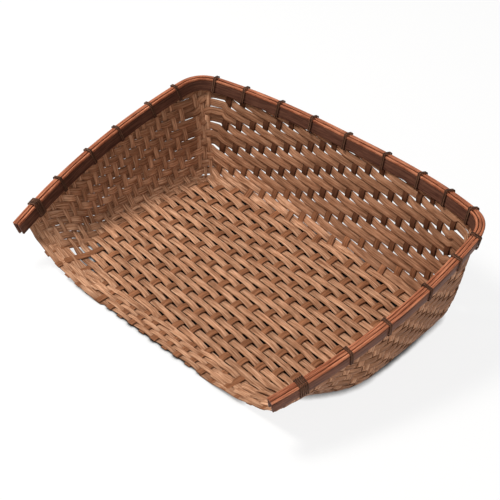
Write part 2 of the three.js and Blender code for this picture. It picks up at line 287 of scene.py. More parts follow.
def swayed(x, rise):
    """Where a warp lies at a distance up the back wall, below zero on the floor."""
    sway = WALL_SWAY * np.exp(-(((x - SWAY_MIDDLE) / SWAY_SPREAD) ** 2))
    return x + lerp(FLOOR_SHIFT, sway, smooth((rise - SWAY_START) / SWAY_RUN))


def warp_place(x, rise):
    """Place of a warp on the back wall at a distance up the wall."""
    back = np.abs(places) <= BACK_LIMIT
    found = np.zeros(np.shape(rise))
    for n, r in enumerate(rise):
        column = on_grid(grid, places[back], np.full(back.sum(), r))[:, 0]
        found[n] = np.interp(swayed(x, r), np.maximum.accumulate(column), places[back])
    return found


wall_rises = np.arange(0, TOP_RISE + WALL_STEP / 2, WALL_STEP)
columns = np.arange(-1, WARP_COUNT + 1)
column_tracks = np.array([warp_place(column_x(c), wall_rises) for c in columns])
column_end = line_at(floor_side, floor_back, column_tracks[:, 0])[:, 1]
warp_x = column_x(np.arange(WARP_COUNT)) + FLOOR_SHIFT
warp_tracks = column_tracks[1:-1]
warp_end = column_end[1:-1]


def back_place(c, rise):
    """Place on the back wall of a point between the warps, at a distance up the wall."""
    n = np.clip(np.floor(c).astype(int) + 1, 0, len(columns) - 2)
    m = np.clip((rise / WALL_STEP).astype(int), 0, len(wall_rises) - 2)
    part = c - columns[n]
    low = lerp(column_tracks[n, m], column_tracks[n + 1, m], part)
    high = lerp(column_tracks[n, m + 1], column_tracks[n + 1, m + 1], part)
    return lerp(low, high, rise / WALL_STEP - m)


def strip_reach(s, c):
    """How far back a strip lies at a warp, along the floor and on up the back wall."""
    reach = STRIP_START + STRIP_PITCH * s - STRIP_FALL * c
    return reach + STRETCH * smooth((reach - STRETCH_START) / STRETCH_RUN)


def strip_over_warp(s, i):
    """1 where a strip passes over a warp, -1 where it passes under."""
    return -1 if (i - s - 1) % TWILL == 0 else 1


def lip_over_warp(j, i):
    """The same for a lip weft, in plain weave."""
    return 1 if (i + j) % 2 else -1


# How far along the walls a place is from the middle of the back
fold_run = run_along(fold_points)
fold_run = np.abs(fold_run - np.interp(0, places, fold_run))

# Where each profile reaches the side line, from which the rows on the side walls are counted
row_zero = np.zeros(len(places))
for n in range(len(places)):
    if abs(places[n]) > SIDE_START:
        row_zero[n] = np.interp(SIDE_LINE, np.maximum.accumulate(np.abs(grid[n, :, 0])), rises)
side_zero = row_zero[np.argmin(np.abs(places - SIDE_START - PLACE_STEP))]
for n in range(len(places)):
    if CORNER_START < abs(places[n]) <= SIDE_START:
        row_zero[n] = smooth(abs(places[n]) - CORNER_START) * side_zero

# Where the strips of the back wall reach its two ends: distance up the wall, and place
edge_rises = {-1: {}, 1: {}}
for sign, rows, edge in ((-1, LEFT_ROWS, -EDGE), (1, RIGHT_ROWS, WARP_COUNT - 1 + EDGE)):
    for row in range(1, STRIP_COUNT - rows):
        rise = max(strip_reach(row + rows, edge) - np.interp(edge, columns, column_end), LEAST_RISE)
        edge_rises[sign][row] = (rise, abs(back_place(np.array([edge]), np.array([rise]))[0]))

upper = rises >= 0
row_fan = ROW_FAN * (fold_run / ROW_FAN_RUN) ** ROW_FAN_POWER


def row_line(row, sign):
    """How far up a side wall a row lies at every place, level with its strip on the back wall."""
    line = row_zero + (ROW_START + ROW_PITCH * row) * (1 + row_fan)
    if row not in edge_rises[sign]:
        return line
    start, edge_place = edge_rises[sign][row]
    end_place = edge_place + CORNER_RUN
    end = np.interp(sign * end_place, places, line)
    low, high = wall_at(np.array([edge_place, end_place]) * sign, np.array([start, end]))[0][:, 2]
    turn = smooth((np.abs(places) - edge_place) / CORNER_RUN)
    line = lerp(start, line, turn)
    if min(low, high) > LOW_ROW:
        for n in np.flatnonzero((turn > 0) & (turn < 1)):
            heights = np.maximum.accumulate(grid[n, upper, 2])
            line[n] = np.interp(lerp(low, high, turn[n]), heights, rises[upper])
    return line


row_lines = {sign: [row_line(row, sign) for row in range(STRIP_COUNT - LEFT_ROWS)] for sign in SIDES}


def row_rise(row, place, sign):
    """How far up a side wall a row lies at a place."""
    return np.interp(place, places, row_lines[sign][row])


def curve_through(at, stops, values):
    """A smooth curve through values at stops."""
    steps = np.diff(values) / np.diff(stops)
    slopes = np.zeros(len(values))
    product = steps[:-1] * steps[1:]
    total = steps[:-1] + steps[1:]
    total = np.where(np.abs(total) < TINY, 1, total)
    slopes[1:-1] = np.where(product > 0, 2 * product / total, 0)
    n = np.clip(np.searchsorted(stops, at) - 1, 0, len(stops) - 2)
    step = stops[n + 1] - stops[n]
    t = np.clip((at - stops[n]) / step, 0, 1)
    start, end = values[n], values[n + 1]
    rise = slopes[n] * step
    fall = slopes[n + 1] * step
    a = 2 * start - 2 * end + rise + fall
    b = -3 * start + 3 * end - 2 * rise - fall
    return ((a * t + b) * t + rise) * t + start


def weave_height(at, crossings, over, under, crest):
    """Heights along a strip: crossings are pairs of a distance and a sign, over or under.

    crest is what an over adds after an under, and what it adds before one.
    """
    crossings = sorted(crossings)
    apart = [crossings[0]]
    for crossing in crossings[1:]:
        if crossing[0] - apart[-1][0] > CLOSEST:
            apart.append(crossing)
    stops = np.array([c[0] for c in apart])
    signs = np.array([c[1] for c in apart])
    values = np.where(signs > 0, over, -under).astype(float)
    values[1:] += crest[0] * ((signs[1:] > 0) & (signs[:-1] < 0))
    values[:-1] += crest[1] * ((signs[:-1] > 0) & (signs[1:] < 0))
    first = min(at[0] - END_MARGIN, stops[0] - END_RUN)
    last = max(at[-1] + END_MARGIN, stops[-1] + END_RUN)
    stops = np.concatenate([[first], stops, [last]])
    values = np.concatenate([[values[0] * END_SHARE], values, [values[-1] * END_SHARE]])
    return curve_through(at, stops, values)


def side_place(y):
    """Place on the right side whose floor line has this y."""
    line = places >= CORNER_START
    order = np.argsort(floor_points[line, 1])
    return np.interp(y, floor_points[line, 1][order], places[line][order])


def floor_half(y):
    """Half the floor's width at this y."""
    return np.interp(side_place(y), places, np.abs(floor_points[:, 0]))


def upright_track(y):
    """Places, on the right wall, of a strip that leaves the floor at this y."""
    start = side_place(y)
    v = (FRONT - start) * (1 - CORNER_SIDE_SHARE)
    straight = smooth((v - STRAIGHT_START) / STRAIGHT_RUN)
    side = places >= CORNER_START
    level = np.zeros(len(wall_rises))
    for n, r in enumerate(wall_rises):
        column = on_grid(grid, places[side], np.full(side.sum(), r))[:, 1]
        order = np.argsort(column)
        level[n] = np.interp(y, column[order], places[side][order])
    return start + (level - start) * straight


def side_end(reach_of, sign):
    """Where a strip leaves the floor at a side: its place between the warps, and its y."""
    half = SIDE_LINE
    for _ in range(SIDE_TRIES):
        c = (sign * half - FLOOR_SHIFT - WARP_SHIFT) / WARP_PITCH + WARP_MIDDLE
        y = max(float(reach_of(c)), LIP_Y)
        half = float(floor_half(min(y, FLOOR_CORNER_Y)))
    return c, y


def meet(track, row, sign):
    """Place and distance up a side wall where an upright meets a row."""
    place = sign * track[MEET_START]
    for _ in range(MEET_TRIES):
        rise = row_rise(row, place, sign)
        place = sign * np.interp(rise, wall_rises, track)
    return place, rise


def row_over_upright(row, s, sign):
    """1 where a row passes inside an upright, -1 where it passes outside."""
    return 1 if (s + sign * row) % TWILL == 0 else -1


# Meshes of strips. The section gives shares of the width and thickness, with a rounded upper side
SECTION = np.array([
    (-0.44, -0.5), (0.44, -0.5), (0.5, -0.25), (0.5, 0.22), (0.45, 0.46),
    (0.2, 0.56), (-0.2, 0.56), (-0.45, 0.46), (-0.5, 0.22), (-0.5, -0.25),
])


def resample(points, ups, step, *values):
    """Even steps along a path, with other values along it."""
    run = run_along(points)
    at = np.linspace(0, run[-1], max(2, int(run[-1] / step)))
    path = np.stack([np.interp(at, run, points[:, axis]) for axis in range(3)], -1)
    path_ups = np.stack([np.interp(at, run, ups[:, axis]) for axis in range(3)], -1)
    return [path, unit(path_ups)] + [np.interp(at, run, value) for value in values]


class Strips:
    """One mesh of many strips, with fields for the shading at each point."""

    def __init__(self):
        self.points, self.faces, self.along, self.across = [], [], [], []
        self.tone, self.depth, self.under = [], [], []
        self.count = 0

    def add(self, centres, ups, width, thickness, section=SECTION, depth=None, roll=None, closed=False):
        n, m = len(centres), len(section)
        if closed:
            along = unit(np.roll(centres, -1, 0) - np.roll(centres, 1, 0))
        else:
            along = unit(np.gradient(centres, axis=0))
        side = unit(np.cross(ups, along))
        up = np.cross(along, side)
        if roll is not None:
            turn = roll[:, None]
            side, up = side * np.cos(turn) - up * np.sin(turn), up * np.cos(turn) + side * np.sin(turn)
        width = np.broadcast_to(np.asarray(width, float), (n,))[:, None, None]
        thickness = np.broadcast_to(np.asarray(thickness, float), (n,))[:, None, None]
        ring = centres[:, None] + side[:, None] * section[None, :, :1] * width
        ring = ring + up[:, None] * section[None, :, 1:] * thickness
        ring[..., 2] = np.maximum(ring[..., 2], 0)
        index = self.count + np.arange(n * m).reshape(n, m)
        after = np.roll(index, -1, 0) if closed else index[1:]
        before = index if closed else index[:-1]
        quads = np.stack([before, np.roll(before, -1, 1), np.roll(after, -1, 1), after], -1).reshape(-1, 4)
        self.faces.extend(quads.tolist())
        if not closed:
            self.faces.append(index[0, ::-1].tolist())
            self.faces.append(index[-1].tolist())
        self.points.append(ring.reshape(-1, 3))
        self.along.append(np.repeat(run_along(centres), m))
        self.across.append(np.tile(section[:, 0] * 2, n))
        self.under.append(np.tile(np.where(section[:, 1] < 0, 1.0, 0.0), n))
        self.tone.append(np.full(n * m, draw.random_sample()))
        self.depth.append(np.repeat(np.zeros(n) if depth is None else depth, m))
        self.count += n * m

    def build(self, name, material, slot, *nodes):
        mesh = bpy.data.meshes.new(name)
        mesh.from_pydata((np.concatenate(self.points) * MM).tolist(), [], self.faces)
        mesh.polygons.foreach_set("use_smooth", [True] * len(mesh.polygons))
        fields = {"along": self.along, "across": self.across, "tone": self.tone}
        fields.update({"depth": self.depth, "under": self.under})
        for field, values in fields.items():
            layer = mesh.attributes.new(field, "FLOAT", "POINT")
            layer.data.foreach_set("value", np.concatenate(values).astype(np.float32))
        mesh.materials.append(material)
        mesh.update()
        piece = bpy.data.objects.new(name, mesh)
        scene.collection.objects.link(piece)
        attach(piece, "root")
        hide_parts(*nodes)


# Materials
COLOUR_MOST = 255
SRGB_KNEE, SRGB_SLOPE, SRGB_SHIFT, SRGB_POWER = 0.04045, 12.92, 0.055, 2.4
MIX_FIRST, MIX_SECOND, MIX_RESULT = 6, 7, 2
WHITE = (1.0, 1.0, 1.0, 1.0)


def shade(srgb):
    """Linear colour from 0 to 255 values."""
    c = np.array(srgb) / COLOUR_MOST
    bright = ((c + SRGB_SHIFT) / (1 + SRGB_SHIFT)) ** SRGB_POWER
    return tuple(np.where(c <= SRGB_KNEE, c / SRGB_SLOPE, bright)) + (1.0,)


class Nodes:
    """Short ways to make and link the nodes of a material or a world."""

    def __init__(self, owner):
        owner.use_nodes = True
        self.tree = owner.node_tree
        self.tree.nodes.clear()

    def new(self, kind):
        return self.tree.nodes.new(kind)

    def put(self, socket, value):
        if isinstance(value, bpy.types.NodeSocket):
            self.tree.links.new(value, socket)
        else:
            socket.default_value = value

    def field(self, name):
        node = self.new("ShaderNodeAttribute")
        node.attribute_name = name
        return node.outputs["Fac"]

    def math(self, operation, a, b=0.0, clamp=False):
        node = self.new("ShaderNodeMath")
        node.operation = operation
        node.use_clamp = clamp
        self.put(node.inputs[0], a)
        self.put(node.inputs[1], b)
        return node.outputs[0]

    def vector_math(self, operation, *values):
        node = self.new("ShaderNodeVectorMath")
        node.operation = operation
        for socket, value in zip(node.inputs, values):
            self.put(socket, value)
        return node

    def vector(self, x, y, z):
        node = self.new("ShaderNodeCombineXYZ")
        for socket, value in zip(node.inputs, (x, y, z)):
            self.put(socket, value)
        return node.outputs[0]

    def noise(self, vector, scale, detail):
        node = self.new("ShaderNodeTexNoise")
        self.put(node.inputs["Vector"], vector)
        node.inputs["Scale"].default_value = scale
        node.inputs["Detail"].default_value = detail
        return node.outputs["Fac"]

    def ramp(self, value, *stops):
        node = self.new("ShaderNodeValToRGB")
        elements = node.color_ramp.elements
        while len(elements) < len(stops):
            elements.new(stops[-1][0])
        for element, (place, colour) in zip(elements, stops):
            element.position = place
            element.color = colour
        self.put(node.inputs["Fac"], value)
        return node.outputs["Color"]

    def range(self, value, low, high, to_low, to_high):
        node = self.new("ShaderNodeMapRange")
        for socket, number in zip(node.inputs, (value, low, high, to_low, to_high)):
            self.put(socket, number)
        return node.outputs[0]

    def mix(self, kind, amount, a, b):
        node = self.new("ShaderNodeMix")
        node.data_type = "RGBA"
        node.blend_type = kind
        self.put(node.inputs[0], amount)
        self.put(node.inputs[MIX_FIRST], a)
        self.put(node.inputs[MIX_SECOND], b)
        return node.outputs[MIX_RESULT]

    def bump(self, height, strength, distance):
        node = self.new("ShaderNodeBump")
        node.inputs["Strength"].default_value = strength
        node.inputs["Distance"].default_value = distance
        self.put(node.inputs["Height"], height)
        return node.outputs["Normal"]

    def blend(self, amount, first, second):
        node = self.new("ShaderNodeMixShader")
        self.put(node.inputs["Fac"], amount)
        self.put(node.inputs[1], first.outputs[0])
        self.put(node.inputs[2], second.outputs[0])
        return node.outputs[0]

    def background(self, colour, strength):
        node = self.new("ShaderNodeBackground")
        node.inputs["Color"].default_value = colour
        node.inputs["Strength"].default_value = strength
        return node

    def seen_directly(self):
        """1 for rays that show the background, straight or in a reflection."""
        rays = self.new("ShaderNodeLightPath").outputs
        first = self.math("MAXIMUM", rays["Is Camera Ray"], rays["Is Glossy Ray"])
        return self.math("MAXIMUM", first, rays["Is Transmission Ray"])


# Bamboo: stretch along and spread across a strip, scale and detail of each grain
FIBRE_STRETCH, FIBRE_SCALE, FIBRE_DETAIL, FIBRE_SHARE = 0.035, 1.1, 3.0, 0.65
FINE_STRETCH, FINE_SCALE, FINE_DETAIL, FINE_SHARE = 0.08, 1.6, 2.0, 0.35
FINE_SPREAD = 2.2
BLOTCH_STRETCH, BLOTCH_SPREAD, BLOTCH_SCALE, BLOTCH_DETAIL = 0.05, 0.4, 1.0, 1.0
TONE_SPREAD = 97.0
DARK_STOP, MIDDLE_STOP, LIGHT_STOP = 0.37, 0.5, 0.63
NOISE_RANGE = (0.3, 0.7)
BLOTCH_LIFT = (0.86, 1.12)
TONE_LIFT = (-0.1, 0.1)
# Painted shade at the strips' edges and on their undersides
EDGE_RANGE = (0.8, 1.0)
EDGE_SHADE = (0.0, 0.35)
UNDERSIDE_SHADE = 0.25
ROUGHNESS = 0.5
ROUGHNESS_LESS, ROUGHNESS_MORE = 0.08, 0.1
BUMP_STRENGTH, BUMP_DISTANCE = 0.35, 0.0004
SHEEN = 0.03


def bamboo(name, light, middle, dark, shade_colour, width, roughness=ROUGHNESS):
    """Split bamboo: long fibres, blotches and a tone for each strip, with painted shade darkening its
    edges, undersides and low places.
    """
    material = bpy.data.materials.new(name)
    n = Nodes(material)
    shader = n.new("ShaderNodeBsdfPrincipled")
    n.put(n.new("ShaderNodeOutputMaterial").inputs["Surface"], shader.outputs[0])
    along, across = n.field("along"), n.field("across")
    tone, depth = n.field("tone"), n.field("depth")
    shift = n.math("MULTIPLY", tone, TONE_SPREAD)

    def grain(stretch, spread, scale, detail):
        place = n.vector(n.math("MULTIPLY", along, stretch), n.math("MULTIPLY", across, spread), shift)
        return n.noise(place, scale, detail)

    fibre = grain(FIBRE_STRETCH, width, FIBRE_SCALE, FIBRE_DETAIL)
    fine = grain(FINE_STRETCH, width * FINE_SPREAD, FINE_SCALE, FINE_DETAIL)
    blotch = grain(BLOTCH_STRETCH, BLOTCH_SPREAD, BLOTCH_SCALE, BLOTCH_DETAIL)
    streak = n.math("ADD", n.math("MULTIPLY", fibre, FIBRE_SHARE), n.math("MULTIPLY", fine, FINE_SHARE))
    stops = zip((DARK_STOP, MIDDLE_STOP, LIGHT_STOP), (shade(dark), shade(middle), shade(light)))
    colour = n.ramp(streak, *stops)
    lift = n.math("ADD", n.range(blotch, *NOISE_RANGE, *BLOTCH_LIFT), n.range(tone, 0, 1, *TONE_LIFT))
    colour = n.mix("MULTIPLY", 1.0, colour, n.vector(lift, lift, lift))
    # Painted shade: edges, undersides and low places of the weave are mixed toward the shade colour
    edge = n.range(n.math("ABSOLUTE", across), *EDGE_RANGE, *EDGE_SHADE)
    shade_amount = n.math("ADD", edge, depth, clamp=True)
    shade_amount = n.math("MAXIMUM", shade_amount, n.math("MULTIPLY", n.field("under"), UNDERSIDE_SHADE))
    colour = n.mix("MIX", shade_amount, colour, shade(shade_colour))
    rough = n.range(fine, *NOISE_RANGE, roughness - ROUGHNESS_LESS, roughness + ROUGHNESS_MORE)
    n.put(shader.inputs["Base Color"], colour)
    n.put(shader.inputs["Roughness"], rough)
    n.put(shader.inputs["Normal"], n.bump(streak, BUMP_STRENGTH, BUMP_DISTANCE))
    n.put(shader.inputs["Specular IOR Level"], SHEEN)
    return material


# The last colour of each material is its painted shade colour, for edges, undersides and low places
WEFT_MATERIAL = bamboo(
    "weft_bamboo", (218, 173, 141), (178, 130, 99), (126, 84, 60), (58, 33, 24), width=3.0)
WARP_MATERIAL = bamboo(
    "warp_bamboo", (158, 108, 77), (134, 88, 61), (100, 63, 43), (62, 35, 24), width=3.6)
# The weavers' colours are the wefts' made darker: painted shade for the walls they run up
WEAVER_MATERIAL = bamboo(
    "weaver_bamboo", (178, 134, 105), (151, 108, 81), (112, 75, 54), (60, 35, 25), width=2.8)
BAND_MATERIAL = bamboo(
    "band_bamboo", (116, 79, 63), (94, 61, 49), (70, 43, 34), (52, 30, 23), width=6.0, roughness=0.42)
CANE_MATERIAL = bamboo(
    "rim_cane", (196, 130, 98), (164, 100, 72), (122, 68, 47), (74, 38, 26), width=1.4, roughness=0.4)
TIE_MATERIAL = bamboo(
    "tie_strip", (112, 80, 63), (84, 58, 45), (60, 40, 31), (38, 25, 20), width=1.0)

# Strips across the floor and along the walls
FLOOR_OVER, FLOOR_UNDER = 0.6, 0.9
PLAIN_OVER = 0.95
FLOOR_CREST = (-0.15, 0.65)
BACK_CREST = (1.65, 0.15)
ROLL_CREST = (0.09, 0.18)
BACK_LIFT = 1.0
SIDE_LIFT = 0.62
NO_CREST = (0.0, 0.0)
# How strongly painted shade darkens the low places of the weave
LOW_SHADE_START, LOW_SHADE_SLOPE, LOW_SHADE_MOST = 0.12, 0.22, 0.4
TONGUE_FLAT = 0.55
FLAT_BEFORE, FLAT_RUN = 4.0, 5.0
CORNER_CLEARANCE = 3.0
STOP_PAST = 0.15
UPRIGHT_GAP = 1.0
ROW_GAP = 2.5
EDGE_GAP = 3.0
FLOOR_GAP = 0.4
CROSSING_PAST = 4.0
LIFT_START, LIFT_RUN = 5.0, 20.0
FOOT_START, FOOT_RUN = 20.0, 30.0
BACK_RUN = 12.0
ROW_LIFT, ROW_LIFT_START, ROW_LIFT_RUN = 0.7, 0.9, 0.5
ROW_WIDTH_START, ROW_WIDTH_RUN = 1.2, 0.8
ROW_STEP = PLACE_STEP * 2
STRIP_SPREAD = (0.98, 1.02)
PART_MARK, PART_WIDTH = 2, 4
FOOT_WIDTHS = {-1: 7.2, 1: 9.6}
FRONT_FOOT_WIDTH = 9.6
FRONT_STRIPS = 5
STOPPED_WIDTH = 5.6
LIP_WIDTH = 5.1
BACK_WIDTH = 9.0
FLOOR_COVER, BACK_COVER = 0.86, 0.92
UPRIGHT_WIDTHS = {-1: 6.4, 1: 8.8}
ROW_WIDTHS = {-1: 8.4, 1: 8.2}
C_STEP = 0.06
PLACE_MARK = 200.0
CORNER_STAKES = 3
STAKE_START = 6.0
STAKE_WIDTHS = (3.2, 7.6)
STAKE_RUN = 60.0
NO_FLOOR_EDGE = HIGHEST * 2
ROW_CORNER = 1.15


def tongue_ease(rise, length):
    """Flattens the weave where the rim bands hold it."""
    return lerp(1.0, TONGUE_FLAT, smooth((rise - (length - TONGUE_DEPTH - FLAT_BEFORE)) / FLAT_RUN))


def longest_run(inside):
    """The longest stretch of true values, as a slice."""
    edges = np.flatnonzero(np.diff(np.concatenate([[0], inside.astype(int), [0]])))
    longest = np.argmax(edges[1::2] - edges[::2])
    return slice(edges[2 * longest], edges[2 * longest + 1])


class Strip:
    """A strip in up to three parts: on the left wall, in the middle and on the right wall."""

    def __init__(self, index, reach_of, over_of, crest, limited):
        self.index, self.reach_of, self.over_of = index, reach_of, over_of
        self.crest, self.limited = crest, limited
        self.upright = {}
        self.ends = {-1: -EDGE, 1: WARP_COUNT - 1 + EDGE}
        for sign in SIDES:
            c, y = side_end(reach_of, sign)
            if y < FLOOR_CORNER_Y - CORNER_CLEARANCE:
                self.ends[sign] = c
                self.upright[sign] = upright_track(y)
        limit = (STRIP_START + STRIP_PITCH * index - LIP_LIMIT) / STRIP_FALL
        last = limit + LIP_RUN
        self.stopped = limited and last < self.ends[1]
        if self.stopped:
            stop = max(i for i in range(WARP_COUNT) if i <= last and over_of(i) < 0)
            self.ends[1] = stop + STOP_PAST
            self.upright.pop(1, None)

    def spans(self, i):
        """Whether the strip reaches a warp."""
        return self.ends[-1] <= i <= self.ends[1]


strips = []
for j in range(LIP_WEFTS):
    lip_y = LIP_START + LIP_PITCH * j
    strips.append(Strip(-1 - j, lambda c, y=lip_y: y + 0 * np.asarray(c, float),
                        lambda i, j=j: lip_over_warp(j, i), NO_CREST, False))
for s in range(STRIP_COUNT):
    strips.append(Strip(s, lambda c, s=s: np.maximum(strip_reach(s, c), LIP_LIMIT),
                        lambda i, s=s: strip_over_warp(s, i), FLOOR_CREST, True))
last_upright = {}
for sign in SIDES:
    standing = [strip for strip in strips if sign in strip.upright]
    last_upright[sign] = max(standing, key=lambda strip: strip.index)


def stake_track(sign, stake):
    """Places of a corner upright, between the last strip on the side and the last warp."""
    last_warp = np.abs(warp_tracks[-1 if sign > 0 else 0])
    return lerp(last_upright[sign].upright[sign], last_warp, (stake + 1) / (CORNER_STAKES + 1))


def side_uprights(sign):
    """Index and track of every upright on a side wall, and of the corner stakes."""
    found = [(strip.index, strip.upright[sign]) for strip in strips if sign in strip.upright]
    first = last_upright[sign].index + 1
    return found + [(first + stake, stake_track(sign, stake)) for stake in range(CORNER_STAKES)]


uprights = {sign: side_uprights(sign) for sign in SIDES}


def up_part(track, sign, index, first_rise, marks_at, floor_edge):
    """Points of an upright from the floor to the rim, with its crossings."""
    rise = np.arange(first_rise, TOP_RISE, SAMPLE)
    place = sign * np.interp(rise, wall_rises, track)
    keep = rise < length_at(place) - UPRIGHT_GAP
    rise, place = rise[keep], place[keep]
    points, normals = wall_at(place, rise)
    crossings = []
    for i, x in enumerate(warp_x):
        if np.sign(x) == sign and abs(x) > floor_edge:
            where = np.interp(abs(x), np.maximum.accumulate(np.abs(points[:, 0])), rise)
            crossings.append((marks_at + sign * where, lip_over_warp(index, i)))
    for row in range(ROW_COUNT):
        _, where = meet(track, row, sign)
        if rise[0] - CROSSING_PAST < where < rise[-1] + CROSSING_PAST:
            crossings.append((marks_at + sign * where, -row_over_upright(row, index, sign)))
    lift = lerp(1.0, SIDE_LIFT, smooth((rise - LIFT_START) / LIFT_RUN))
    lift = lift * tongue_ease(rise, rise[-1] + UPRIGHT_GAP)
    foot = FRONT_FOOT_WIDTH if index < FRONT_STRIPS else FOOT_WIDTHS[sign]
    width = lerp(foot, UPRIGHT_WIDTHS[sign], smooth((rise - FOOT_START) / FOOT_RUN))
    part = [points, normals, marks_at + sign * rise, lift, width, 0 * rise]
    return ([value[::-1] for value in part] if sign < 0 else part), crossings


def row_part(row, sign, marks_at, edge_place):
    """Points of a row along a side wall, from the corner to the front, with its crossings."""
    far = np.arange(edge_place + PLACE_STEP, FRONT - PLACE_GAP, ROW_STEP)
    rise = row_rise(row, sign * far, sign)
    inside = rise < length_at(sign * far) - ROW_GAP
    if not inside.any():
        return None, []
    kept = longest_run(inside)
    far, rise = far[kept], rise[kept]
    points, normals = wall_at(sign * far, rise)
    mark = marks_at + sign * (far - edge_place) * PLACE_MARK
    crossings = []
    for index, track in uprights[sign]:
        where = abs(meet(track, row, sign)[0])
        if far[0] < where < far[-1]:
            at = marks_at + sign * (where - edge_place) * PLACE_MARK
            crossings.append((at, row_over_upright(row, index, sign)))
    lift = lerp(BACK_LIFT, ROW_LIFT, smooth((far - ROW_LIFT_START) / ROW_LIFT_RUN))
    lift = lift * tongue_ease(rise, length_at(sign * far))
    width = lerp(BACK_WIDTH, ROW_WIDTHS[sign], smooth((far - ROW_WIDTH_START) / ROW_WIDTH_RUN))
    part = [points, normals, mark, lift, width, 1 + 0 * far]
    return ([value[::-1] for value in part] if sign < 0 else part), crossings


def middle_part(strip):
    """Points of a strip over the floor and the back wall, with its crossings."""
    c = np.arange(strip.ends[-1], strip.ends[1], C_STEP)
    reach = strip.reach_of(c)
    rise = reach - np.interp(c, columns, column_end)
    x = swayed(column_x(c), rise)
    flat = np.stack([x, reach, 0 * x + MAT_HALF_THICKNESS], -1)
    up = np.maximum(rise, 0)
    place = back_place(c, up)
    on_wall, wall_normals = wall_at(place, up)
    high = (rise > 0)[:, None]
    points = np.where(high, on_wall, flat)
    normals = np.where(high, wall_normals, UP)
    on_floor = np.abs(x) < floor_half(reach) - FLOOR_GAP
    keep = np.where(rise > 0, up < length_at(place) - ROW_GAP, on_floor)
    if not keep.any():
        return None, []
    kept = longest_run(keep)
    crossings = [(i * WARP_PITCH, strip.over_of(i)) for i in range(WARP_COUNT) if strip.spans(i)]
    back = smooth(rise / BACK_RUN)
    lift = lerp(1.0, BACK_LIFT, back) * np.where(rise > 0, tongue_ease(up, length_at(place)), 1.0)
    if strip.limited:
        near = strip_reach(strip.index + 0.5, c) - strip_reach(strip.index - 0.5, c)
        past_lip = smooth((LIP_LIMIT - strip_reach(strip.index, c)) / STRIP_PITCH)
        width = lerp(near * lerp(FLOOR_COVER, BACK_COVER, back), STOPPED_WIDTH, past_lip)
    else:
        width = LIP_WIDTH + 0 * c
    part = [points, normals, c * WARP_PITCH, lift, width, back]
    return [value[kept] for value in part], crossings


def lay(mesh, parts, crossings, crest, spread):
    """Bends the parts of one strip over and under its crossings and adds it to a mesh."""
    points, normals, marks, lift, width, back = [np.concatenate(values) for values in zip(*parts)]
    if crest == FLOOR_CREST:
        on_floor = weave_height(marks, crossings, FLOOR_OVER, FLOOR_UNDER, FLOOR_CREST)
        on_wall = weave_height(marks, crossings, FLOOR_OVER, FLOOR_UNDER, BACK_CREST)
        heights = lerp(on_floor, on_wall, back) * lift
        roll = weave_height(marks, crossings, 0, 0, ROLL_CREST) * (1 - back)
    else:
        heights = weave_height(marks, crossings, PLAIN_OVER, FLOOR_UNDER, crest) * lift
        roll = 0 * heights
    path, ups, heights, width, roll = resample(points, normals, SAMPLE, heights, width * spread, roll)
    # Painted shade: the lower a strip lies in the weave, the darker its colour
    depth = np.clip(LOW_SHADE_START - heights * LOW_SHADE_SLOPE, 0, LOW_SHADE_MOST)
    mesh.add(path + ups * heights[:, None], ups, width, STRIP_THICKNESS, depth=depth, roll=roll)


wefts = Strips()
weavers = Strips()
joined = {-1: [], 1: []}
for strip in strips:
    part, crossings = middle_part(strip)
    if part is None:
        continue
    parts = {0: part}
    for sign, rows in ((-1, LEFT_ROWS), (1, RIGHT_ROWS)):
        marks_at = strip.ends[sign] * WARP_PITCH
        if sign in strip.upright:
            edge = abs(column_x(strip.ends[sign]) + FLOOR_SHIFT)
            parts[sign], more = up_part(strip.upright[sign], sign, strip.index, 0.0, marks_at, edge)
            crossings += more
        elif strip.index - rows in edge_rises[sign]:
            row = strip.index - rows
            edge_rise, edge_place = edge_rises[sign][row]
            if edge_rise < length_at(sign * edge_place) - EDGE_GAP:
                parts[sign], more = row_part(row, sign, marks_at, edge_place)
                crossings += more
                joined[sign].append(row)
    mesh = wefts if 1 in strip.upright or strip.stopped else weavers
    laid = [parts[n] for n in sorted(parts)]
    lay(mesh, laid, crossings, strip.crest, draw.uniform(*STRIP_SPREAD))

# Short uprights that fill the two back corners, and rows of the side walls that end at the corners
for sign in SIDES:
    for stake in range(CORNER_STAKES):
        index = last_upright[sign].index + 1 + stake
        part, crossings = up_part(stake_track(sign, stake), sign, index, STAKE_START, 0.0, NO_FLOOR_EDGE)
        widest = lerp(*STAKE_WIDTHS, smooth(np.abs(part[PART_MARK]) / STAKE_RUN))
        part[PART_WIDTH] = np.minimum(part[PART_WIDTH], widest)
        lay(wefts, [part], crossings, NO_CREST, 1.0)
    for row in range(ROW_COUNT):
        if row not in joined[sign]:
            part, crossings = row_part(row, sign, 0.0, ROW_CORNER)
            if part is not None:
                lay(weavers, [part], crossings, NO_CREST, 1.0)
wefts.build("floor_wefts", WEFT_MATERIAL, "woven_bamboo", "woven_mat")
weavers.build("wall_weavers", WEAVER_MATERIAL, "woven_bamboo", "woven_mat")

# Warps, from the lip along the floor and up the back wall
WARP_OVER, WARP_UNDER = 1.1, 0.7
WARP_END = 1.8
WARP_SPREAD = (0.95, 1.04)
WALL_SHADING = 0.8
SHADING_START, SHADING_RUN = 10.0, 40.0
FRONT_SHARE, FRONT_STEPS = 0.6, 121


def warp_front(x):
    """Points, normals and marks of a warp that starts on the rising front of a side wall."""
    points, normals, marks = [], [], []
    front_v = np.linspace(0, FRONT_SHARE, FRONT_STEPS)
    front_place = (1 if x > 0 else -1) * (FRONT - front_v / (1 - CORNER_SIDE_SHARE))
    front_floor = np.abs(line_at(floor_side, floor_back, front_place)[:, 0])
    for v, place, half in zip(front_v, front_place, front_floor):
        if half >= abs(x):
            break
        profile = np.abs(on_grid(grid, np.full(len(rises), place), rises)[:, 0])
        rise = np.interp(abs(x), np.maximum.accumulate(profile), rises)
        point, normal = wall_at(np.array([place]), np.array([rise]))
        points.append(point[0])
        normals.append(normal[0])
        marks.append(lerp(LIP_Y, FLOOR_CORNER_Y, v))
    return points, normals, marks


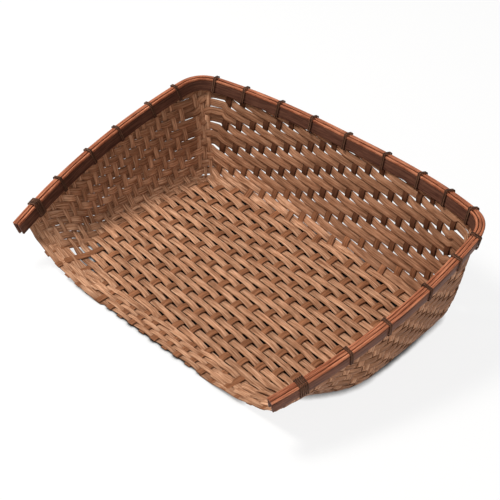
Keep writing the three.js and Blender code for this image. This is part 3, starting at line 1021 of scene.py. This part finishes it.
warps = Strips()
for i, x in enumerate(warp_x):
    points, normals, marks = warp_front(x)
    start_y = points[-1][1] + SAMPLE if points else LIP_Y
    floor_y = np.arange(start_y, warp_end[i], SAMPLE)
    points += [np.array([swayed(column_x(i), y - warp_end[i]), y, MAT_HALF_THICKNESS]) for y in floor_y]
    normals += [np.array(UP)] * len(floor_y)
    rise = np.arange(0, TOP_RISE, SAMPLE)
    place = np.interp(rise, wall_rises, warp_tracks[i])
    keep = rise < length_at(place) - UPRIGHT_GAP
    rise, place = rise[keep], place[keep]
    up_points, up_normals = wall_at(place, rise)
    points = np.concatenate([np.array(points), up_points])
    normals = np.concatenate([np.array(normals), up_normals])
    marks = np.concatenate([marks, floor_y, warp_end[i] + rise])
    crossings = [(float(strip.reach_of(i)), -strip.over_of(i)) for strip in strips if strip.spans(i)]
    heights = weave_height(marks, crossings, WARP_OVER, WARP_UNDER, NO_CREST)
    heights *= tongue_ease(marks - warp_end[i], rise[-1] + UPRIGHT_GAP)
    # Painted shade: warps darken up the back wall, where they lie recessed behind the weavers
    shading = WALL_SHADING * smooth((marks - warp_end[i] - SHADING_START) / SHADING_RUN)
    first = points[0] + unit(points[0] - points[1]) * WARP_END
    points = np.concatenate([[first], points])
    normals = np.concatenate([normals[:1], normals])
    heights = np.concatenate([heights[:1], heights])
    shading = np.concatenate([[0], shading])
    path, ups, heights, shading = resample(points, normals, SAMPLE, heights, shading)
    width = WARP_WIDTH * draw.uniform(*WARP_SPREAD)
    warps.add(path + ups * heights[:, None], ups, width, STRIP_THICKNESS, depth=shading)
warps.build("warps", WARP_MATERIAL, "woven_bamboo", "woven_mat")

# Rim bands and canes
BAND_NEAR, BAND_FAR, BAND_HEIGHT = 1.8, 4.4, 14.0
RIM_OVERHANG = 12.0
CANE_OFFSETS = (-3.6, -0.5, 2.75)
CANE_LOWS = (-2.3, -0.2, 0.0)
CANE_TOPS = (0.7, 2.1, 2.1)
CANE_WIDTH = 2.85
BAND_CORNER, BAND_CORNER_STEPS = (0.07, 0.36), 5
CANE_CORNER, CANE_CORNER_STEPS = (0.42, 0.4), 4
SIDE_STEPS, CORNER_STEPS, BACK_STEPS = 70, 30, 80
rim_spans = (
    (-FRONT, -SIDE_START, SIDE_STEPS),
    (-SIDE_START, -CORNER_START, CORNER_STEPS),
    (-CORNER_START, CORNER_START, BACK_STEPS),
    (CORNER_START, SIDE_START, CORNER_STEPS),
    (SIDE_START, FRONT, SIDE_STEPS),
)
rim_places = [np.linspace(start, end, steps)[:-1] for start, end, steps in rim_spans]
origin, along, outward, upward = rim_frame(np.concatenate(rim_places + [[FRONT]]))


def with_ends(values, slope):
    """Carries the rim straight on past its two front ends."""
    first = values[:1] - slope[:1] * RIM_OVERHANG
    last = values[-1:] + slope[-1:] * RIM_OVERHANG
    return np.concatenate([first, values, last])


origin = with_ends(origin, along)
outward = with_ends(outward, 0 * along)
upward = with_ends(upward, 0 * along)


def rounded_box(corner, steps):
    """Outline of a unit square with rounded corners, corner as shares of the width and height."""
    outline = []
    for a, (cx, cy) in enumerate(((1, 1), (-1, 1), (-1, -1), (1, -1))):
        for b in range(steps):
            turn = math.pi / 2 * (a + b / (steps - 1))
            x = cx * (0.5 - corner[0]) + corner[0] * math.cos(turn)
            y = cy * (0.5 - corner[1]) + corner[1] * math.sin(turn)
            outline.append((x, y))
    return np.array(outline)


def band(name, low, high):
    """A flat band along the rim, between two distances out from the rim line."""
    strip = Strips()
    centre = origin + outward * ((low + high) / 2) - upward * (BAND_HEIGHT / 2)
    section = rounded_box(BAND_CORNER, BAND_CORNER_STEPS)
    strip.add(centre, outward, BAND_HEIGHT, high - low, section)
    strip.build(name + "_finish", BAND_MATERIAL, "rim_band", name)


band("inner_rim_band", -BAND_FAR, -BAND_NEAR)
band("outer_rim_band", BAND_NEAR, BAND_FAR)
for number, offset in enumerate(CANE_OFFSETS):
    strip = Strips()
    low, high = CANE_LOWS[number], CANE_TOPS[number]
    centre = origin + outward * offset + upward * ((low + high) / 2)
    strip.add(centre, upward, CANE_WIDTH, high - low, rounded_box(CANE_CORNER, CANE_CORNER_STEPS))
    name = "rim_cane_%d" % (number + 1)
    strip.build(name + "_finish", CANE_MATERIAL, "rim_cane", name)

# Ties and lashings
TIE_REACH, TIE_TOP, TIE_BOTTOM, TIE_CORNER = 5.55, 3.25, -15.15, 1.6
TIE_PITCH, TIE_SIZE, TIE_FLAT = 2.0, 1.5, 0.8
TIE_ROUND, TIE_ROUND_STEPS, TIE_LOOP_STEPS = (0.45, 0.45), 4, 6
TIE_TURNS, LASHING_TURNS = 2, 5
LEFT_SHARES = (0.22, 0.4, 0.56, 0.74, 0.88)
RIGHT_SHARES = (0.265, 0.435, 0.635, 0.8, 0.94)
BACK_SHARES = (-0.9, -0.71, -0.485, -0.26, -0.02, 0.25, 0.5, 0.7, 0.885)
LASHING_SHARE = 0.075


def tie(name, place, turns):
    """Closed turns of a strip round the canes and bands, side by side."""
    strip = Strips()
    at, run, out, up = (value[0] for value in rim_frame(np.array([place])))
    middle = up * ((TIE_TOP + TIE_BOTTOM) / 2)
    corner = (TIE_CORNER / (2 * TIE_REACH), TIE_CORNER / (TIE_TOP - TIE_BOTTOM))
    outline = rounded_box(corner, TIE_LOOP_STEPS)
    section = rounded_box(TIE_ROUND, TIE_ROUND_STEPS)
    for turn in range(turns):
        shift = (turn - (turns - 1) / 2) * TIE_PITCH
        centre = at + middle + run * shift
        loop = centre + out * outline[:, :1] * (2 * TIE_REACH)
        loop = loop + up * outline[:, 1:] * (TIE_TOP - TIE_BOTTOM)
        strip.add(loop, unit(loop - centre), TIE_SIZE, TIE_SIZE * TIE_FLAT, section, closed=True)
    strip.build(name + "_finish", TIE_MATERIAL, "tie_strip", name)


def side_tie_place(share):
    """Place of a tie from its share of the way from the front to the corner."""
    return FRONT - share / (1 - CORNER_SIDE_SHARE)


tie("lashing_left_front", -side_tie_place(LASHING_SHARE), LASHING_TURNS)
tie("lashing_right_front", side_tie_place(LASHING_SHARE), LASHING_TURNS)
for number, share in enumerate(LEFT_SHARES):
    tie("tie_left_%d" % (number + 1), -side_tie_place(share), TIE_TURNS)
for number, share in enumerate(RIGHT_SHARES):
    tie("tie_right_%d" % (number + 1), side_tie_place(share), TIE_TURNS)
for number, share in enumerate(BACK_SHARES):
    tie("tie_back_%d" % (number + 1), share / (1 - CORNER_BACK_SHARE), TIE_TURNS)

# Floor: white where it is seen, apart from its soft shadow and the painted shade close under the basket,
# where its colour and glow are darkened by how covered it is
FLOOR_HALF = 4.0
FLOOR_GLOW = 0.85
FLOOR_PALE = 0.92
FLOOR_REACH = 0.006
COVER_SAMPLES = 8
MAT_STRETCH, MAT_CENTRE = (1.0, 1.2, 0.0), (0.0, 0.032, 0.0)
UNDER_MAT, BESIDE_MAT = 0.172, 0.2
UNDER_SHARPNESS, FLOOR_SHARPNESS = 7.0, 1.0
floor_mesh = bpy.data.meshes.new("floor")
corners = [(-1, -1), (1, -1), (1, 1), (-1, 1)]
floor_mesh.from_pydata([(a * FLOOR_HALF, b * FLOOR_HALF, 0) for a, b in corners], [], [(0, 1, 2, 3)])
floor = bpy.data.objects.new("floor", floor_mesh)
scene.collection.objects.link(floor)
floor_material = bpy.data.materials.new("pale_floor")
floor_mesh.materials.append(floor_material)
n = Nodes(floor_material)
cover = n.new("ShaderNodeAmbientOcclusion")
cover.samples = COVER_SAMPLES
cover.inputs["Distance"].default_value = FLOOR_REACH
spot = n.new("ShaderNodeNewGeometry").outputs["Position"]
centred = n.vector_math("MULTIPLY_ADD", spot, MAT_STRETCH, MAT_CENTRE).outputs[0]
apart = n.vector_math("LENGTH", centred).outputs["Value"]
# Painted shade: the floor's colour and glow are scaled by how open it is above, far more sharply within
# the basket's outline
sharpness = n.range(apart, UNDER_MAT, BESIDE_MAT, UNDER_SHARPNESS, FLOOR_SHARPNESS)
open_share = n.math("POWER", cover.outputs["AO"], sharpness)
matt = n.new("ShaderNodeBsdfDiffuse")
n.put(matt.inputs["Color"], n.math("MULTIPLY", open_share, FLOOR_PALE))
glow = n.new("ShaderNodeEmission")
glow.inputs["Color"].default_value = WHITE
shown = n.math("MULTIPLY", n.seen_directly(), n.math("MULTIPLY", open_share, FLOOR_GLOW))
n.put(n.new("ShaderNodeOutputMaterial").inputs["Surface"], n.blend(shown, matt, glow))

# Light: a soft world that is seen as white, and three lamps
AMBIENT = 0.25
AMBIENT_COLOUR = (0.95, 0.98, 1.0, 1.0)
LAMP_COLOUR = (1.0, 0.97, 0.93)
world = bpy.data.worlds.new("studio")
scene.world = world
n = Nodes(world)
soft = n.background(AMBIENT_COLOUR, AMBIENT)
bright = n.background(WHITE, 1.0)
n.put(n.new("ShaderNodeOutputWorld").inputs["Surface"], n.blend(n.seen_directly(), soft, bright))


def lamp(name, location, target, size, watts):
    """A square lamp that faces a target."""
    data = bpy.data.lights.new(name, "AREA")
    data.size = size
    data.energy = watts
    data.color = LAMP_COLOUR
    item = bpy.data.objects.new(name, data)
    item.location = location
    item.rotation_euler = (Vector(target) - Vector(location)).to_track_quat("-Z", "Y").to_euler()
    scene.collection.objects.link(item)


lamp("key", location=(-0.75, -0.5, 1.7), target=(0, 0, 0.03), size=0.6, watts=39.0)
lamp("fill", location=(1.3, -0.9, 0.8), target=(0, 0, 0.05), size=1.0, watts=4.8)
lamp("low", location=(0.85, -0.2, 0.05), target=(0.2, -0.05, 0.06), size=0.08, watts=1.2)

# Camera
CAMERA_AZIMUTH = math.radians(46.02)
CAMERA_ELEVATION = math.radians(36.1)
CAMERA_DISTANCE = 1.39906
CAMERA_TARGET = Vector((-0.03784, 0.00129, 0.0))
CAMERA_LENS = 91.57
CAMERA_SENSOR = 36.0
backward = Vector((
    math.sin(CAMERA_AZIMUTH) * math.cos(CAMERA_ELEVATION),
    -math.cos(CAMERA_AZIMUTH) * math.cos(CAMERA_ELEVATION),
    math.sin(CAMERA_ELEVATION),
))
camera_data = bpy.data.cameras.new("camera")
camera_data.lens = CAMERA_LENS
camera_data.sensor_width = CAMERA_SENSOR
camera = bpy.data.objects.new("camera", camera_data)
camera.location = CAMERA_TARGET + backward * CAMERA_DISTANCE
camera.rotation_euler = (-backward).to_track_quat("-Z", "Y").to_euler()
scene.collection.objects.link(camera)
scene.camera = camera
scene.view_settings.view_transform = "Standard"
